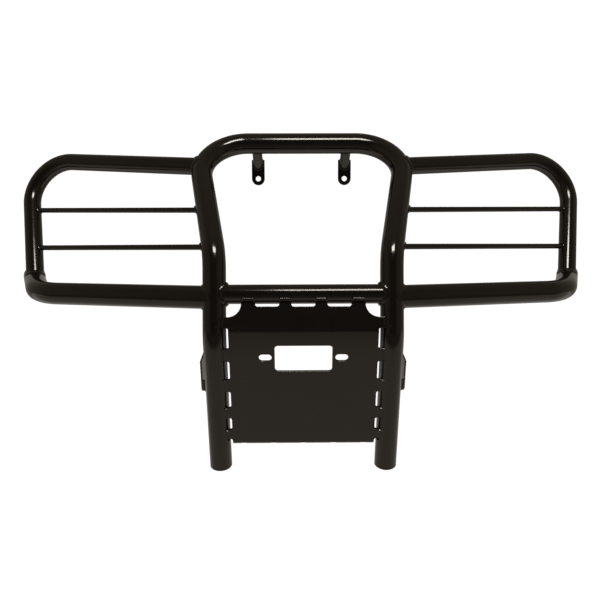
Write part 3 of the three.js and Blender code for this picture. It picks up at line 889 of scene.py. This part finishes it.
# The camera's place is laid out from the knees, as the guard is. Its angles are in radians.
CAMERA_PLACE = (-12.7, -916.89, 106.04)
CAMERA_PITCH, CAMERA_YAW, CAMERA_ROLL = 0.119, 0.008, -0.003
CAMERA_LENS, CAMERA_SENSOR = 34.47, 36


def make_floor():
    """A plain floor: white to the eye, and a softer painted patchwork of glow to the coat."""
    shape = bmesh.new()
    bmesh.ops.create_grid(shape, x_segments=1, y_segments=1, size=FLOOR_HALF)
    bmesh.ops.translate(shape, verts=shape.verts[:], vec=(0, 0, cad_low.z))
    floor = bpy.data.objects.new("floor", to_mesh("floor", shape))
    bpy.context.scene.collection.objects.link(floor)
    material = bpy.data.materials.new("pale_floor")
    material.use_nodes = True
    shader = material.node_tree.nodes["Principled BSDF"]
    shader.inputs["Base Color"].default_value = FLOOR_GREY
    shader.inputs["Roughness"].default_value = FLOOR_ROUGHNESS
    shader.inputs["Specular IOR Level"].default_value = 0
    shader.inputs["Emission Strength"].default_value = 1
    flow = Flow(material.node_tree)
    place = flow.node("ShaderNodeTexCoord", output="Object")
    back = flow.node("ShaderNodeSeparateXYZ", {}, {"Vector": place}, "Y")
    glow = FLOOR_GLOW_AHEAD
    # Painted pools of glow on the floor, brighter under and behind the guard, for reflections only
    for low, high, colour in FLOOR_GLOWS.values():
        glow = blend(flow, above(flow, back, low, high), glow, colour)
    seen = flow.node("ShaderNodeLightPath", output="Is Camera Ray")
    blend(flow, seen, glow, FLOOR_SEEN).into(shader.inputs["Emission Color"])
    floor.data.materials.append(material)


def make_world():
    """White to the eye. The coat reflects a dim studio, lighter to the sides, overhead and behind."""
    world = bpy.data.worlds.new("studio")
    bpy.context.scene.world = world
    world.use_nodes = True
    tree = world.node_tree
    background = tree.nodes["Background"]
    flow = Flow(tree)
    heading = flow.node("ShaderNodeTexCoord", output="Generated")
    across, back, up = (flow.node("ShaderNodeSeparateXYZ", {}, {"Vector": heading}, axis) for axis in "XYZ")
    room = ROOM_AHEAD
    for slope, (low, high, colour) in ((abs(across), ROOM_SIDES), (up, ROOM_TOP), (back, ROOM_BEHIND)):
        room = blend(flow, above(flow, slope, low, high), room, colour)
    seen = flow.node("ShaderNodeLightPath", output="Is Camera Ray")
    blend(flow, seen, room, ROOM_SEEN).into(background.inputs["Color"])


def make_window_panel():
    """One soft panel above and in front, a little to the right."""
    lamp = bpy.data.lights.new("window_panel", "AREA")
    lamp.shape = "RECTANGLE"
    lamp.size, lamp.size_y = PANEL_WIDTH, PANEL_HEIGHT
    lamp.energy = PANEL_POWER
    lamp.color = PANEL_COLOUR
    holder = bpy.data.objects.new("window_panel", lamp)
    holder.location = PANEL_PLACE
    heading = Vector(PANEL_AIM) - Vector(PANEL_PLACE)
    holder.rotation_euler = heading.to_track_quat("-Z", "Y").to_euler()
    bpy.context.scene.collection.objects.link(holder)


def make_camera():
    """A little above the guard's middle, just over a metre in front, tilted down 7 degrees."""
    pitch, yaw = CAMERA_PITCH, CAMERA_YAW
    lens = bpy.data.cameras.new("camera")
    lens.sensor_width = CAMERA_SENSOR
    lens.lens = CAMERA_LENS
    camera = bpy.data.objects.new("camera", lens)
    bpy.context.scene.collection.objects.link(camera)
    ahead = Vector((math.sin(yaw) * math.cos(pitch), math.cos(yaw) * math.cos(pitch), -math.sin(pitch)))
    right = Vector((math.cos(yaw), -math.sin(yaw), 0))
    above_it = right.cross(ahead)
    tilt = Matrix.Rotation(CAMERA_ROLL, 3, -ahead)
    turn = Matrix((tilt @ right, tilt @ above_it, -ahead)).transposed().to_4x4()
    camera.matrix_world = Matrix.Translation(spot(CAMERA_PLACE)) @ turn
    bpy.context.scene.camera = camera


make_floor()
make_world()
make_window_panel()
make_camera()
bpy.context.scene.view_settings.view_transform = "Standard"
